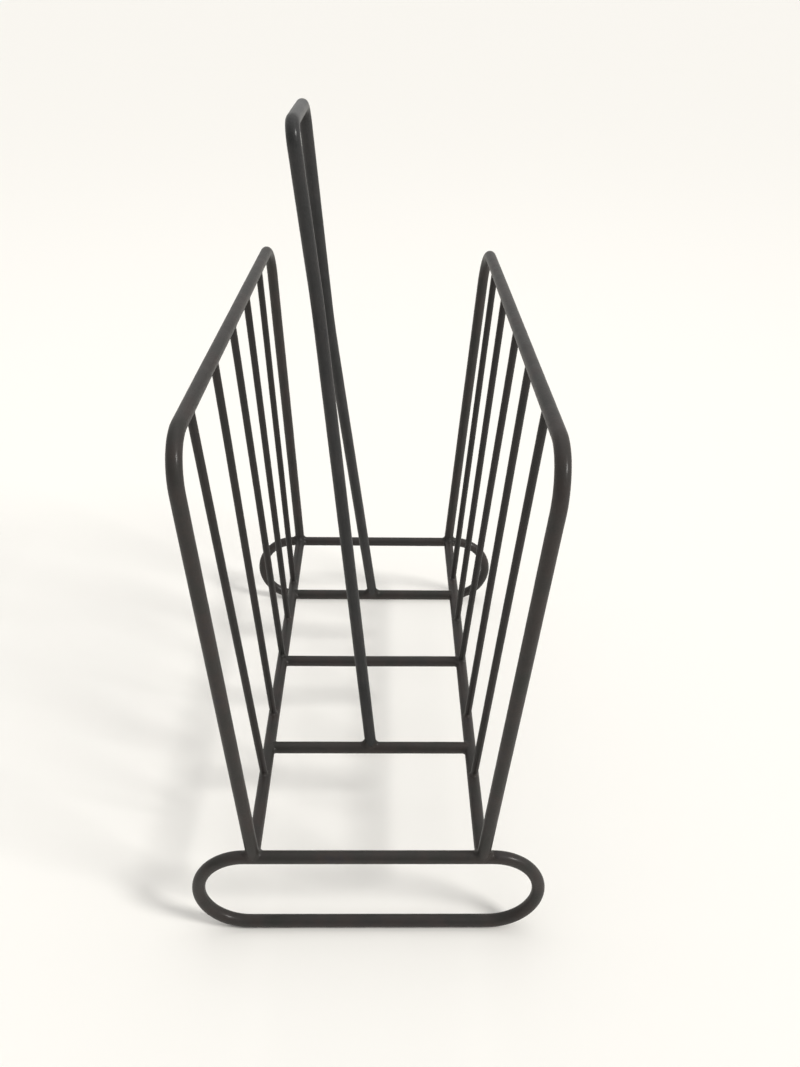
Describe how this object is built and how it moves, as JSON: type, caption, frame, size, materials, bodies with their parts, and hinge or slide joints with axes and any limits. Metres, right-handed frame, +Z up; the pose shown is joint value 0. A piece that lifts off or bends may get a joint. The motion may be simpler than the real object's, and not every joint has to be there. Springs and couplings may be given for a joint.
{
  "type": "newspaper rack",
  "caption": "Free-standing black steel rod rack that holds newspapers and magazines in a pocket on each side of a tall carrying handle.",
  "frame": {"origin": "on the floor, at the centre of the rack's footprint, level with the underside of the foot loops", "axes": "+Z up; +Y along the length, from the front foot loop to the rear one; +X to the right as seen from the front foot loop"},
  "size_m": [0.2188, 0.3761, 0.4571],
  "materials": {
    "black_enamel": "satin black paint over welded steel rod"
  },
  "bodies": {
    "root": {"front_foot_loop": "black_enamel", "rear_foot_loop": "black_enamel", "left_bottom_rail": "black_enamel", "right_bottom_rail": "black_enamel", "front_crossbar": "black_enamel", "middle_crossbar": "black_enamel", "rear_crossbar": "black_enamel", "left_side_frame": "black_enamel", "right_side_frame": "black_enamel", "left_side_rod_1": "black_enamel", "left_side_rod_2": "black_enamel", "left_side_rod_3": "black_enamel", "left_side_rod_4": "black_enamel", "left_side_rod_5": "black_enamel", "right_side_rod_1": "black_enamel", "right_side_rod_2": "black_enamel", "right_side_rod_3": "black_enamel", "right_side_rod_4": "black_enamel", "right_side_rod_5": "black_enamel", "handle": "black_enamel"}
  },
  "joints": []
}
